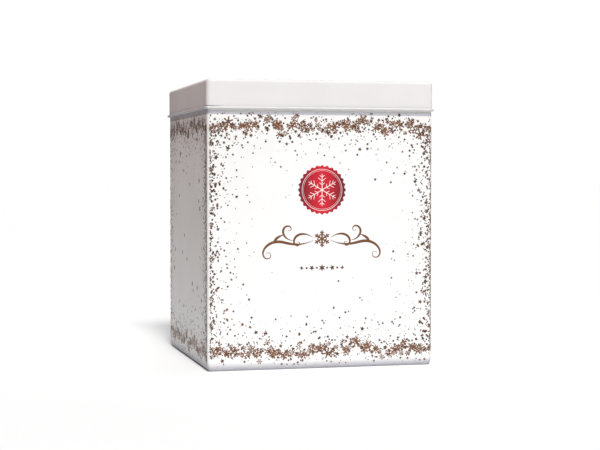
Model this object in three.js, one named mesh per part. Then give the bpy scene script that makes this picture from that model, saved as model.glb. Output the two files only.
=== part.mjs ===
// A panettone in a square gift tin: a tinplate body with a clinched-in bottom, a slip-on lid with a
// curled edge, and inside it the loaf in its corrugated paper mould, sealed in a clear film bag.
// Millimetres, +Z up. The tin stands on z = 0, centred on the Z axis, with its front facing -Y.

import * as THREE from 'three';
import { mergeVertices } from 'three/addons/utils/BufferGeometryUtils.js';

// ---- Driving dimensions ----------------------------------------------------------------------

const BODY_WIDTH = 176;          // outside width of the square body, flat to flat
const TOTAL_HEIGHT = 218.4;      // table to the top of the lid
const SHEET = 0.3;               // tinplate thickness
const CORNER_RADIUS = 3;         // the body's four upright edges
const GAP = 0.3;                 // running clearance between pieces that touch

const TUCK_DEPTH = 2.5;          // how far the wall turns in at the base
const TUCK_HEIGHT = 6;           // how high above the table that turn starts
const FOOT_WIDTH = 6;            // flat in-turned edge that the tin stands on
const RIM_RADIUS = 1.2;          // rolled-in top rim of the body

const LID_DEPTH = 22.6;          // top of the lid to the underside of its curled edge
const LID_EDGE_RADIUS = 2.5;     // drawn edge between the lid's top and its skirt
const LID_BORDER = 9;            // raised border round the lid's sunken panel
const LID_STEP = 0.8;            // depth of the sunken panel
const CURL_RADIUS = 1.5;         // outside radius of the lid's outward curl

const BOTTOM_RIM = 6;            // clinched border of the bottom panel
const BOTTOM_RISE = 2.4;         // the bottom panel stands this far above its border

const MOULD_RADIUS = 80.1;       // outside of the paper mould
const MOULD_HEIGHT = 105;
const MOULD_FLUTES = 48;
const FLUTE_DEPTH = 0.25;
const MOULD_PAPER = 0.5;
const BASE_PAPER = 1.0;
const CROWN_RISE = 55;           // crown of the loaf above its shoulder
const CROWN_BULGE = 1.1;         // the crown stands proud of the loaf inside the mould
const CUT_DEPTH = 5;             // cross cut in the crown
const CUT_WIDTH = 7;

const FILM = 0.15;               // film bag, a little thicker than the real one
const NECK_HEIGHT = 184;         // where the bag is tied, above the table
const NECK_RADIUS = 4.5;
const TIE_WIDTH = 4;
const TIE_THICKNESS = 0.6;
const TIE_TAIL = 16;

// ---- Shared shapes ---------------------------------------------------------------------------

const HALF = BODY_WIDTH / 2;
const CORNER_STEPS = 6;
const SQUARE_STEPS = 4 * (CORNER_STEPS + 1);
const MIN_CORNER = 0.4;

// Points of an arc from one angle to another, in degrees, as [distance from the axis, height].
function arc(centreX, centreZ, radiusX, radiusZ, from, to, steps) {
  return Array.from({ length: steps + 1 }, (_, index) => {
    const angle = THREE.MathUtils.degToRad(from + ((to - from) * index) / steps);
    return [centreX + radiusX * Math.cos(angle), centreZ + radiusZ * Math.sin(angle)];
  });
}

// A profile spun once round the Z axis. place(turn, distance) may move each turn's points.
function spin(profile, steps, place) {
  const outline = profile.map(([distance, height]) => new THREE.Vector2(distance, height));
  const geometry = new THREE.LatheGeometry(outline, steps);
  const position = geometry.attributes.position;
  for (let step = 0; step <= steps; step += 1) {
    profile.forEach(([distance, height], row) => {
      const [x, y, z] = place(step % steps, distance, height);
      position.setXYZ(step * profile.length + row, x, y, z);
    });
  }
  geometry.deleteAttribute('normal');
  geometry.deleteAttribute('uv');
  return mergeVertices(geometry, 1e-5);
}

// A profile carried round a rounded square. Distances are measured square to the flat sides, and
// the corner radius grows or shrinks with the distance so that a wall keeps its thickness.
function spinSquare(profile) {
  return spin(profile, SQUARE_STEPS, (step, distance, height) => {
    const corner = Math.floor(step / (CORNER_STEPS + 1));
    const turn = (step % (CORNER_STEPS + 1)) / CORNER_STEPS;
    const angle = (Math.PI / 2) * (corner + turn - 1);
    const radius = Math.min(distance, Math.max(MIN_CORNER, CORNER_RADIUS + distance - HALF));
    const centre = distance - radius;
    const sideX = corner === 0 || corner === 1 ? 1 : -1;
    const sideY = corner === 1 || corner === 2 ? 1 : -1;
    return [
      sideX * centre + radius * Math.cos(angle),
      sideY * centre + radius * Math.sin(angle),
      height,
    ];
  });
}

// A profile spun round the Z axis into a round piece, with an optional change of each point.
function spinRound(profile, steps, shape = (angle, distance, height) => [distance, height]) {
  return spin(profile, steps, (step, distance, height) => {
    const angle = (2 * Math.PI * step) / steps;
    const [radius, z] = shape(angle, distance, height);
    return [radius * Math.sin(angle), -radius * Math.cos(angle), z];
  });
}

function closed(profile) {
  return [...profile, profile[0]];
}

const lacqueredTinplate = { color: 0xf7f5f4, roughness: 0.38, metalness: 0.1 };

function namedMesh(name, geometry, look) {
  const mesh = new THREE.Mesh(geometry, new THREE.MeshStandardMaterial(look));
  mesh.name = name;
  return mesh;
}

// ---- Tin body: one sheet wrapped into a square sleeve ------------------------------------------

const LID_UNDERSIDE = TOTAL_HEIGHT - SHEET;
const RIM_TOP = LID_UNDERSIDE - LID_STEP - GAP;
const TUCK_CENTRE = HALF - TUCK_DEPTH;
const FOOT_INSIDE = TUCK_CENTRE - FOOT_WIDTH;

function tinBody() {
  const rimX = HALF - RIM_RADIUS;
  const rimZ = RIM_TOP - RIM_RADIUS;
  const curled = RIM_RADIUS - SHEET;
  const outside = [
    [FOOT_INSIDE, 0],
    ...arc(TUCK_CENTRE, TUCK_HEIGHT, TUCK_DEPTH, TUCK_HEIGHT, -90, 0, 6),
    ...arc(rimX, rimZ, RIM_RADIUS, RIM_RADIUS, 0, 240, 8),
  ];
  const inside = [
    ...arc(rimX, rimZ, curled, curled, 240, 0, 8),
    ...arc(TUCK_CENTRE, TUCK_HEIGHT, TUCK_DEPTH - SHEET, TUCK_HEIGHT - SHEET, 0, -90, 6),
    [FOOT_INSIDE, SHEET],
  ];
  return namedMesh('tin_body', spinSquare(closed([...outside, ...inside])), lacqueredTinplate);
}

// ---- Tin bottom: a flat panel held above the body's in-turned edge ------------------------------

function tinBottom() {
  const rimUnderside = SHEET + GAP;
  const panelUnderside = rimUnderside + BOTTOM_RISE;
  const rimOutside = TUCK_CENTRE - GAP;
  const rimInside = rimOutside - BOTTOM_RIM;
  const panelEdge = rimInside - BOTTOM_RISE / 2;
  const profile = [
    [0, panelUnderside],
    [panelEdge, panelUnderside],
    [rimInside, rimUnderside],
    [rimOutside, rimUnderside],
    [rimOutside, rimUnderside + SHEET],
    [rimInside + SHEET / 2, rimUnderside + SHEET],
    [panelEdge + SHEET / 2, panelUnderside + SHEET],
    [0, panelUnderside + SHEET],
  ];
  return namedMesh('tin_bottom', spinSquare(profile), {
    color: 0xc9c8c4,
    roughness: 0.3,
    metalness: 0.85,
  });
}

// ---- Tin lid: a drawn cap whose skirt ends in an outward curl -----------------------------------

function tinLid() {
  const inside = HALF + GAP;
  const outside = inside + SHEET;
  const edgeX = outside - LID_EDGE_RADIUS;
  const edgeZ = TOTAL_HEIGHT - LID_EDGE_RADIUS;
  const edgeInside = LID_EDGE_RADIUS - SHEET;
  const curlX = inside + CURL_RADIUS;
  const curlZ = TOTAL_HEIGHT - LID_DEPTH + CURL_RADIUS;
  const curled = CURL_RADIUS - SHEET;
  const stepX = outside - LID_BORDER;
  const profile = [
    [0, LID_UNDERSIDE - LID_STEP],
    [stepX - LID_STEP, LID_UNDERSIDE - LID_STEP],
    [stepX, LID_UNDERSIDE],
    ...arc(edgeX, edgeZ, edgeInside, edgeInside, 90, 0, 5),
    ...arc(curlX, curlZ, CURL_RADIUS, CURL_RADIUS, 180, 460, 10),
    ...arc(curlX, curlZ, curled, curled, 460, 180, 10),
    ...arc(edgeX, edgeZ, LID_EDGE_RADIUS, LID_EDGE_RADIUS, 0, 90, 5),
    [stepX, TOTAL_HEIGHT],
    [stepX - LID_STEP, TOTAL_HEIGHT - LID_STEP],
    [0, TOTAL_HEIGHT - LID_STEP],
  ];
  return namedMesh('tin_lid', spinSquare(profile), { ...lacqueredTinplate, color: 0xf0edeb });
}

// ---- Film bag: a clear tube gathered over the crown ----------------------------------------------

const BAG_FLOOR = SHEET + GAP + BOTTOM_RISE + SHEET + GAP;
const BAG_RADIUS = MOULD_RADIUS + 0.4 + FILM;
const MOULD_FLOOR = BAG_FLOOR + FILM + GAP;
const MOULD_TOP = MOULD_FLOOR + MOULD_HEIGHT;
const SHOULDER = MOULD_TOP + 4;

function filmBag() {
  const ease = FILM + 0.9;
  const outside = [
    [0, BAG_FLOOR],
    [BAG_RADIUS - 0.3, BAG_FLOOR],
    [BAG_RADIUS, BAG_FLOOR + 0.3],
    [BAG_RADIUS, MOULD_TOP],
    ...arc(0, SHOULDER, BAG_RADIUS, CROWN_RISE + 2 * ease, 8, 80, 8),
    [NECK_RADIUS + 2, NECK_HEIGHT - 5],
    [NECK_RADIUS, NECK_HEIGHT - TIE_WIDTH / 2],
    [NECK_RADIUS, NECK_HEIGHT + TIE_WIDTH / 2],
    [NECK_RADIUS + 4, NECK_HEIGHT + 10],
    [NECK_RADIUS + 11, NECK_HEIGHT + 22],
  ];
  const mouth = NECK_RADIUS - 2;
  const inside = [
    [NECK_RADIUS + 10.6, NECK_HEIGHT + 22.2],
    [mouth + 4, NECK_HEIGHT + 10],
    [mouth, NECK_HEIGHT + TIE_WIDTH / 2],
    [mouth, NECK_HEIGHT - TIE_WIDTH / 2],
    [mouth + 3, NECK_HEIGHT - 6],
    ...arc(0, SHOULDER, BAG_RADIUS - FILM, CROWN_RISE + 2 * ease - FILM, 80, 8, 8),
    [BAG_RADIUS - FILM, MOULD_TOP],
    [BAG_RADIUS - FILM, BAG_FLOOR + 0.3],
    [BAG_RADIUS - 0.3 - FILM / 2, BAG_FLOOR + FILM],
    [0, BAG_FLOOR + FILM],
  ];
  return namedMesh('film_bag', spinRound([...outside, ...inside], 40), {
    color: 0xf4f6f8,
    roughness: 0.12,
    metalness: 0,
    transparent: true,
    opacity: 0.3,
  });
}

// ---- Bag tie: a flat wire tie closed round the neck, its ends side by side -----------------------

class TiePath extends THREE.Curve {
  getPoint(amount, target = new THREE.Vector3()) {
    const ring = NECK_RADIUS + GAP + TIE_THICKNESS / 2;
    const opening = Math.asin((TIE_THICKNESS * 0.75) / ring);
    const straight = 0.2;
    const turn = THREE.MathUtils.clamp((amount - straight) / (1 - 2 * straight), 0, 1);
    const angle = opening + turn * (2 * Math.PI - 2 * opening);
    const tail = Math.max(0, straight - amount, amount - (1 - straight)) / straight;
    const x = ring * Math.cos(angle) + tail * TIE_TAIL;
    return target.set(x, ring * Math.sin(angle), NECK_HEIGHT);
  }
}

function bagTie() {
  const halfWidth = TIE_WIDTH / 2;
  const halfThickness = TIE_THICKNESS / 2;
  const section = new THREE.Shape([
    new THREE.Vector2(-halfWidth, -halfThickness),
    new THREE.Vector2(halfWidth, -halfThickness),
    new THREE.Vector2(halfWidth, halfThickness),
    new THREE.Vector2(-halfWidth, halfThickness),
  ]);
  const strip = new THREE.ExtrudeGeometry(section, { extrudePath: new TiePath(), steps: 48 });
  return namedMesh('bag_tie', strip, { color: 0xb08a3c, roughness: 0.35, metalness: 0.6 });
}

// ---- Paper mould: a fluted wall round a flat base ------------------------------------------------

function mouldWall() {
  const outside = MOULD_RADIUS - FLUTE_DEPTH;
  const profile = closed([
    [outside - MOULD_PAPER, MOULD_FLOOR],
    [outside, MOULD_FLOOR],
    [outside, MOULD_TOP],
    [outside - MOULD_PAPER, MOULD_TOP],
  ]);
  const fluted = (angle, distance, height) => [
    distance + FLUTE_DEPTH * Math.cos(MOULD_FLUTES * angle),
    height,
  ];
  const wall = spinRound(profile, MOULD_FLUTES * 4, fluted);
  return namedMesh('baking_mould_wall', wall, { color: 0x6b4326, roughness: 0.85, metalness: 0 });
}

const LOAF_RADIUS = MOULD_RADIUS - 2 * FLUTE_DEPTH - MOULD_PAPER - GAP;

function mouldBase() {
  const profile = [
    [0, MOULD_FLOOR],
    [LOAF_RADIUS, MOULD_FLOOR],
    [LOAF_RADIUS, MOULD_FLOOR + BASE_PAPER],
    [0, MOULD_FLOOR + BASE_PAPER],
  ];
  const base = spinRound(profile, 48);
  return namedMesh('baking_mould_base', base, { color: 0x6b4326, roughness: 0.85, metalness: 0 });
}

// ---- Panettone: one baked loaf, its crown risen over the mould and opened along a cross cut -------

function panettone() {
  const floor = MOULD_FLOOR + BASE_PAPER + GAP;
  const crown = LOAF_RADIUS + CROWN_BULGE;
  const profile = [
    [0, floor],
    [LOAF_RADIUS / 2, floor],
    ...arc(LOAF_RADIUS - 4, floor + 4, 4, 4, -90, 0, 3),
    [LOAF_RADIUS, MOULD_TOP - 20],
    [LOAF_RADIUS, MOULD_TOP - 1],
    ...arc(0, SHOULDER, crown, CROWN_RISE, 0, 90, 14),
  ];
  const cut = (angle, distance, height) => {
    const across = Math.min(
      Math.abs(distance * Math.sin(angle)),
      Math.abs(distance * Math.cos(angle)),
    );
    const onCrown = THREE.MathUtils.smoothstep(height, SHOULDER + CROWN_RISE / 2, SHOULDER + CROWN_RISE);
    return [distance, height - CUT_DEPTH * onCrown * Math.exp(-((across / CUT_WIDTH) ** 2))];
  };
  const loaf = spinRound(profile, 48, cut);
  return namedMesh('panettone', loaf, { color: 0x8a4a1c, roughness: 0.75, metalness: 0 });
}

// ---- Assembly --------------------------------------------------------------------------------------

const group = new THREE.Group();
group.add(
  tinBody(),
  tinBottom(),
  tinLid(),
  filmBag(),
  bagTie(),
  mouldWall(),
  mouldBase(),
  panettone(),
);

export default group;
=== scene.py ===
import math

import bpy
import numpy as np
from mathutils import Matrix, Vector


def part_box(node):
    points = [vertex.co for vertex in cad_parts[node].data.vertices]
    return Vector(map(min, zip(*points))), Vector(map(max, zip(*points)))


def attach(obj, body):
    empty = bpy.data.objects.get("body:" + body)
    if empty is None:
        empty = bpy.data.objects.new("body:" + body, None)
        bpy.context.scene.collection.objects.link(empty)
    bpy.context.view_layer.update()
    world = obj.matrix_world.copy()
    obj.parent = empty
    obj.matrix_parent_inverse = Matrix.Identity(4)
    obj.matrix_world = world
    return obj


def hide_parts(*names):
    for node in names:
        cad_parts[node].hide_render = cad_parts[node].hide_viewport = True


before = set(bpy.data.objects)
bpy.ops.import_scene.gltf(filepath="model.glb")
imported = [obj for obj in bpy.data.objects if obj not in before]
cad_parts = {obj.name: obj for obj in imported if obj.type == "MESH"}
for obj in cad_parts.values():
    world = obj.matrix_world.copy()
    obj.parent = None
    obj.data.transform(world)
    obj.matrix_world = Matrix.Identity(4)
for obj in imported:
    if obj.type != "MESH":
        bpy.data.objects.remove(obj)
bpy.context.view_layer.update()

# ---- Tin body ----
# One sheet of tinplate, lacquered white and printed flat, then bent round four corners and closed
# by a lock seam at the back. Its top edge is rolled in, its lower edge is tucked under the base.

body_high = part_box("tin_body")[1]
HALF = body_high[0]
BODY_TOP = body_high[2]
LID_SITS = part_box("tin_lid")[0][2]
SHEET = 0.0003
CORNER = 0.003
MIN_CORNER = 0.0004
TUCK_DEPTH = 0.0025
TUCK_HEIGHT = 0.006
FOOT = 0.006
FOOT_EDGE = 0.0004
RIM = 0.0012
BOW = 0.00022
SEAM_AT = 0.885
SEAM_HALF_WIDTH = 0.020
SEAM_EDGE = 0.004
SEAM_RISE = 0.00035
WALL_ROWS = 34
CORNER_STEPS = 12
AFTER_CORNER = [-1, -0.99, -0.96]
BEFORE_CORNER = [0.96, 0.99, 1]
# Heights over which painted shade greys the wall towards its foot.
FOOT_SHADE_HEIGHTS = (0.0082, 0.0004)
CRISP_ANGLE = math.radians(38)

# Each side of the tin: the way it faces and the way along it, anticlockwise seen from above.
OUTWARD = np.array([[0, -1], [1, 0], [0, 1], [-1, 0]], float)
FORWARD = np.array([[1, 0], [0, 1], [-1, 0], [0, -1]], float)
FRONT, RIGHT, BACK, LEFT = range(4)


def arc(centre, radii, start, stop, steps):
    """Points of an ellipse's arc, centre plus radii times (cos, sin), from start to stop degrees."""
    angle = np.radians(np.linspace(start, stop, steps + 1))
    return np.column_stack([centre[0] + radii[0] * np.cos(angle), centre[1] + radii[1] * np.sin(angle)])


def route(fractions, corner_steps):
    """Stations once round the tin: along each side as fractions of its flat length, -1 to 1, then
    round the next corner as an angle from 0 to a right angle. The last column is the side."""
    bends = np.linspace(0, math.pi / 2, corner_steps + 1)[1:-1]
    along = np.concatenate([fractions, np.ones(len(bends))])
    bend = np.concatenate([np.zeros(len(fractions)), bends])
    side = np.repeat(np.arange(4), len(along))
    return np.tile(along, 4), np.tile(bend, 4), side


def on_side(side, out, forward, height):
    """Points so far out from the tin's axis towards a side, and so far forward along that side."""
    outward, ahead = OUTWARD[side], FORWARD[side]
    return np.stack([
        outward[..., 0] * out + ahead[..., 0] * forward,
        outward[..., 1] * out + ahead[..., 1] * forward,
        np.broadcast_to(height, out.shape),
    ], axis=-1)


def carry_round(distance, height, along, bend, side):
    """Carries a profile round the rounded square. The corner radius is the wall's plus how far the
    point lies outside the wall, so a sheet keeps its thickness as it turns."""
    radius = np.clip(CORNER + distance - HALF, MIN_CORNER, None)
    flat = distance - radius
    forward = along * flat + radius * np.sin(bend)
    return on_side(side, flat + radius * np.cos(bend), forward, height)


def bow(fraction, height):
    """How far a flat side stands proud: a half wave along it times a half wave up it."""
    rise = np.clip((height - TUCK_HEIGHT) / (BODY_TOP - TUCK_HEIGHT), 0, 1)
    return BOW * np.cos(fraction * math.pi / 2) * np.sin(rise * math.pi)


def ring_faces(rows, columns, joined=False):
    """Faces of a grid whose columns close on themselves, with its first and last rows joined, or
    else each filled by one flat face."""
    row = np.arange(rows if joined else rows - 1)[:, None]
    column = np.arange(columns)[None, :]
    above = (row + 1) % rows
    beside = (column + 1) % columns
    lower, upper = row * columns, above * columns
    corners = np.broadcast_arrays(lower + column, lower + beside, upper + beside, upper + column)
    faces = np.stack(corners, axis=-1).reshape(-1, 4).tolist()
    if not joined:
        end = np.arange(columns)
        faces += [end[::-1].tolist(), (end + (rows - 1) * columns).tolist()]
    return faces


def new_object(name, data):
    """An object in the scene for a mesh, a lamp or a camera."""
    made = bpy.data.objects.new(name, data)
    bpy.context.scene.collection.objects.link(made)
    return made


def new_piece(name, points, faces, finish, slot, stands_for=()):
    """A mesh at the origin with its place in its points, smooth but for edges sharper than
    CRISP_ANGLE. It rides on the tin and takes the finish given; slot is not used."""
    mesh = bpy.data.meshes.new(name)
    mesh.from_pydata(points.reshape(-1, 3).tolist(), [], faces)
    mesh.shade_smooth()
    mesh.set_sharp_from_angle(angle=CRISP_ANGLE)
    mesh.materials.append(finish)
    piece = new_object(name, mesh)
    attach(piece, "root")
    if stands_for:
        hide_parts(*stands_for)
    return piece


def feed(inputs, values):
    """Links wires into a node's inputs, by name or number, and sets plain values on the others."""
    for name, value in values.items():
        if isinstance(value, Wire):
            value.socket.id_data.links.new(value.socket, inputs[name])
        else:
            inputs[name].default_value = value


class Wire:
    """An output of a material's nodes. Its arithmetic operators take wires and numbers, and each
    adds one Math node."""

    def __init__(self, socket):
        self.socket = socket

    def add(self, kind, settings, values, output=0):
        """Adds a node of that kind: first its settings, then the values or wires of its inputs, by
        name or number. Returns the wire of one output."""
        node = self.socket.id_data.nodes.new(kind)
        for name, setting in settings.items():
            setattr(node, name, setting)
        feed(node.inputs, values)
        return Wire(node.outputs[output])

    def sum(self, operation, first, second=0.0):
        """A Math node's operation on two numbers or wires."""
        return self.add("ShaderNodeMath", {"operation": operation}, {0: first, 1: second})

    def __add__(self, other):
        return self.sum("ADD", self, other)

    def __sub__(self, other):
        return self.sum("SUBTRACT", self, other)

    def __rsub__(self, other):
        return self.sum("SUBTRACT", other, self)

    def __mul__(self, other):
        return self.sum("MULTIPLY", self, other)

    __radd__ = __add__
    __rmul__ = __mul__

    def __truediv__(self, other):
        return self.sum("DIVIDE", self, other)

    def __abs__(self):
        return self.sum("ABSOLUTE", self)

    def ease(self, low, high):
        """0 below low and 1 above high, with a smooth step between."""
        settings = {"interpolation_type": "SMOOTHSTEP"}
        return self.add("ShaderNodeMapRange", settings, {0: self, 1: low, 2: high})

    def blend(self, first, second):
        """Number first where this wire is 0 and number second where it is 1."""
        return self.add("ShaderNodeMix", {"data_type": "FLOAT"}, {0: self, 2: first, 3: second})

    def mix(self, first, second):
        """Colour first where this wire is 0 and colour second where it is 1."""
        return self.add("ShaderNodeMix", {"data_type": "RGBA"}, {0: self, 6: first, 7: second}, output=2)

    def noise(self, scale, detail=2.0, roughness=0.5):
        """Cloud noise from 0 to 1 over this wire's coordinates."""
        values = {"Vector": self, "Scale": scale, "Detail": detail, "Roughness": roughness}
        return self.add("ShaderNodeTexNoise", {}, values)

    def axis(self, index):
        """One coordinate of this wire's point: x, y or z as 0, 1 or 2."""
        return self.add("ShaderNodeSeparateXYZ", {}, {0: self}, output=index)

    def bump(self, height, depth, strength):
        """A normal for a surface that height, 0 to 1, raises by up to depth metres."""
        values = {"Height": height, "Distance": depth, "Strength": strength}
        return self.add("ShaderNodeBump", {}, values)


def new_finish(name):
    """A material, and the wire of its object coordinates."""
    material = bpy.data.materials.new(name)
    material.use_nodes = True
    place = material.node_tree.nodes.new("ShaderNodeTexCoord").outputs["Object"]
    return material, Wire(place)


def finished(material, values):
    """The material with those values fed into its shader."""
    feed(material.node_tree.nodes["Principled BSDF"].inputs, values)
    return material


def rgb(red, green, blue):
    """A colour picked on a 0 to 255 scale, as the linear colour that a shader takes."""
    scaled = np.array([red, green, blue]) / 255
    linear = np.where(scaled <= 0.04045, scaled / 12.92, ((scaled + 0.055) / 1.055) ** 2.4)
    return (*linear.tolist(), 1.0)


def white_lacquer(name, clean, dusky, painted_shade_colour, painted_shade_at):
    """Satin lacquer over rolled sheet: a faint cloudiness in the colour and the gloss, the fine
    orange peel of stoved lacquer, and painted shade in duller, greyer strips where the last argument,
    a function of the object coordinates, is above 0."""
    material, place = new_finish(name)
    cloud = place.noise(22.0, 3.0).ease(0.35, 0.7)
    speck = place.noise(1400.0, 1.0).ease(0.70, 0.82)
    # Painted shade: the mask greys and dulls the lacquer where it is above 0.
    painted_shade = painted_shade_at(place) * (0.75 + 0.25 * place.noise(160.0, 3.0))
    colour = painted_shade.mix((cloud * 0.7 + speck * 0.3).mix(clean, dusky), painted_shade_colour)
    peel = place.noise(420.0, 2.0)
    return finished(material, {
        "Base Color": colour,
        "Roughness": 0.58 + 0.07 * place.noise(55.0, 3.0) + 0.12 * painted_shade,
        "Normal": place.bump(peel, 0.00002, 0.35),
        "Specular IOR Level": 0.22,
    })


def body_profile():
    """The sheet's section: under the foot, up the tuck and the wall, over the rolled rim, and back
    down the inside, as distance from the tin's axis and height."""
    tuck = (HALF - TUCK_DEPTH, TUCK_HEIGHT)
    roll = (HALF - RIM, BODY_TOP - RIM)
    foot = tuck[0] - FOOT
    beside_bend = 2 * SHEET
    wall_heights = np.linspace(TUCK_HEIGHT + beside_bend, BODY_TOP - RIM - beside_bend, WALL_ROWS)
    wall = np.column_stack([np.full(WALL_ROWS, HALF), wall_heights])
    lining = wall[::-3] - [SHEET, 0]
    inner_tuck = (TUCK_DEPTH - SHEET, TUCK_HEIGHT - SHEET)
    return np.vstack([
        [[foot, 0], [foot + FOOT_EDGE, 0], [tuck[0] - beside_bend, 0]],
        arc(tuck, (TUCK_DEPTH, TUCK_HEIGHT), -90, 0, 16),
        wall,
        arc(roll, (RIM, RIM), 0, 240, 18),
        arc(roll, (RIM - SHEET, RIM - SHEET), 240, 0, 18),
        lining,
        arc(tuck, inner_tuck, 0, -90, 10),
        [[tuck[0] - beside_bend, SHEET], [foot, SHEET]],
    ])


def tin_wall():
    """The section carried round the tin. Its flat part stands proud by the bow of each side, and
    by the seam's fold between the seam's two edges at the back."""
    seam = SEAM_AT + np.array([-1, 1]) * SEAM_HALF_WIDTH
    seam_stations = np.sort(np.concatenate([seam - SEAM_EDGE, seam + SEAM_EDGE]))
    before_seam = np.linspace(-0.9, 0.84, 26)
    stations = np.concatenate([AFTER_CORNER, before_seam, seam_stations, BEFORE_CORNER])
    along, bend, side = route(stations, CORNER_STEPS)
    profile = body_profile()
    distance, height = profile[:, :1], profile[:, 1:]
    on_wall = (height > TUCK_HEIGHT) & (height < BODY_TOP - RIM)
    flat = (bend == 0)[None, :]
    into_seam = np.abs(along - SEAM_AT)[None, :] < SEAM_HALF_WIDTH
    seam_fold = SEAM_RISE * (into_seam & flat & (side == BACK)[None, :])
    distance = distance + on_wall * flat * (bow(along[None, :], height) + seam_fold)
    points = carry_round(distance, height, along, bend, side)
    return points, ring_faces(*points.shape[:2], joined=True)


def wall_painted_shade(place):
    """Painted shade over the foot, more and more towards its bend, and a painted shadow in a strip
    just under the lid's edge, most of all along the left side."""
    height = place.axis(2)
    # Painted shade, greying the wall more and more towards the foot's bend.
    foot = height.ease(*FOOT_SHADE_HEIGHTS)
    # Painted shadow in a strip under the lid's curl, strongest along the left side.
    strip = height.ease(LID_SITS - 0.0044, LID_SITS - 0.0032)
    left_side = (0 - place.axis(0)).ease(HALF - 0.0010, HALF - 0.0004)
    below_lid = height.ease(LID_SITS - 0.0009, LID_SITS - 0.0021)
    return foot + strip * left_side.blend(0.95 * below_lid, 0.9)


wall_lacquer = white_lacquer(
    "white_lacquer", rgb(238, 237, 236), rgb(232, 231, 229), rgb(162, 162, 171), wall_painted_shade,
)
new_piece("tin_wall", *tin_wall(), wall_lacquer, "white_lacquer", ["tin_body"])

# ---- Star print ----
# Bronze-brown ink on the flat sheet before it is bent: a ragged garland of snowflakes under the
# lid and another above the base, thinner columns of them beside each corner, and stars and specks
# that thin out towards the middle of each side. Each mark is a thin raised film of ink.

PRINT_LEFT = -0.0868
PRINT_RIGHT = (0.0892, 0.0868, 0.0868, 0.0850)
GARLAND_TOP = 0.1842
GARLAND_BASE = 0.0134
PRINT_FLOOR = 0.0032
PRINT_CEILING = 0.1940
SEAM_MIDDLE = SEAM_AT * (HALF - CORNER)
SEAM_STRIP = (SEAM_HALF_WIDTH + SEAM_EDGE) * (HALF - CORNER)
SUNK = -0.00001
INK_RISE = (0.00005, 0.00010)
WANDER = (0.0012, 0.0012, 0.0010)
WANDER_RATE = (70.0, 170.0, 330.0)
MIDDLE_REACH = 0.078
MIDDLE_HEIGHTS = (0.03, 0.165)
LABEL_HEIGHT = 0.105
LABEL_HALF_SIZE = (0.050, 0.055)


def wall_point(side, across, height, rise):
    """A point of the bent sheet. across runs along the sheet from the middle of a side and on round
    the corner, height runs up it, and rise stands off the lacquer. Past the flat part the rest of
    across is turned into an angle, and below TUCK_HEIGHT the point goes in with the tuck's ellipse."""
    straight = HALF - CORNER
    flat = np.clip(across, -straight, straight)
    turn = (across - flat) / CORNER
    under = np.clip(TUCK_HEIGHT - height, 0, TUCK_HEIGHT) / TUCK_HEIGHT
    tucked = TUCK_DEPTH * (1 - np.sqrt(1 - under**2))
    radius = CORNER + rise - tucked + bow(flat / straight, height)
    return on_side(side, straight + radius * np.cos(turn), flat + radius * np.sin(turn), height)


def repeated(faces, size, copies, start=0):
    """The faces of one shape of size points, for each of its copies, whose points follow on from
    point start."""
    starts = start + size * np.arange(copies)[:, None]
    return [copy for face in faces for copy in (starts + np.array(face)).tolist()]


class Marks:
    """Marks of ink gathered for one piece, as points (across, height, rise), faces and tones."""

    def __init__(self):
        self.points, self.faces, self.tones, self.count = [], [], [], 0

    def take(self, flat, rises, faces, tones):
        """Adds flat points of shape (marks, points of a mark, 2) with their rises, and the faces
        of one mark, which every mark repeats. tones holds one tone for each mark."""
        marks, size = flat.shape[:2]
        points = np.dstack([flat, np.broadcast_to(rises, (marks, size))])
        self.faces += repeated(faces, size, marks, self.count)
        self.points.append(points.reshape(-1, 3))
        self.tones.append(np.repeat(tones, size))
        self.count += marks * size


def turned(shape, centres, sizes, angles):
    """Copies of a flat shape, each scaled, turned and moved to its own centre."""
    cosine, sine = np.cos(angles)[:, None], np.sin(angles)[:, None]
    x, y = shape[None, :, 0] * sizes[:, None], shape[None, :, 1] * sizes[:, None]
    return np.stack([
        centres[:, :1] + x * cosine - y * sine,
        centres[:, 1:] + x * sine + y * cosine,
    ], axis=-1)


def stars(marks, rng, centres, sizes, tips, waist, tones):
    """Stars with that many tips: an outline whose radius goes in to waist between the tips, closed
    below and raised to one point in the middle, like a drop of ink that has dried."""
    angle = np.arange(2 * tips) * math.pi / tips
    reach = np.where(np.arange(2 * tips) % 2 == 0, 1.0, waist)
    outline = np.column_stack([reach * np.cos(angle), reach * np.sin(angle)])
    flat = turned(np.vstack([outline, [[0, 0]]]), centres, sizes, rng.uniform(0, math.tau, len(sizes)))
    rise = np.full(flat.shape[:2], SUNK)
    rise[:, -1] = rng.uniform(*INK_RISE, len(sizes))
    corners = np.arange(2 * tips)
    faces = [[corner, (corner + 1) % (2 * tips), 2 * tips] for corner in corners.tolist()]
    faces.append(corners[::-1].tolist())
    marks.take(flat, rise, faces, tones)


def six_fold(strokes):
    """Repeats strokes round a centre six times. Each row is a start, an end and two half-widths."""
    strokes = np.array(strokes, float)
    ends = strokes[:, :4].reshape(-1, 2, 2)
    angle = np.arange(6)[:, None, None] * math.pi / 3
    cosine, sine = np.cos(angle), np.sin(angle)
    x, y = ends[..., 0], ends[..., 1]
    ends = np.stack([x * cosine - y * sine, x * sine + y * cosine], axis=-1).reshape(6, -1, 4)
    widths = np.broadcast_to(strokes[:, 4:], (6, len(strokes), 2))
    return np.concatenate([ends, widths], axis=2).reshape(-1, 6)


def forks(at, long, width):
    """A pair of side strokes that leave an arm at that part of its length, leaning outwards."""
    lean = math.radians(52)
    ahead, aside = at + long * math.cos(lean), long * math.sin(lean)
    return [[at, 0, ahead, way * aside, width, width * 0.8] for way in (-1, 1)]


def hollow_star(inner, outer, width):
    """Two strokes a sixth turn wide that leave a star-shaped hole in the middle of a flake."""
    half_turn = math.radians(30)
    notch = (inner * math.cos(half_turn), inner * math.sin(half_turn))
    return [[outer, 0, notch[0], way * notch[1], width, width] for way in (-1, 1)]


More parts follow.
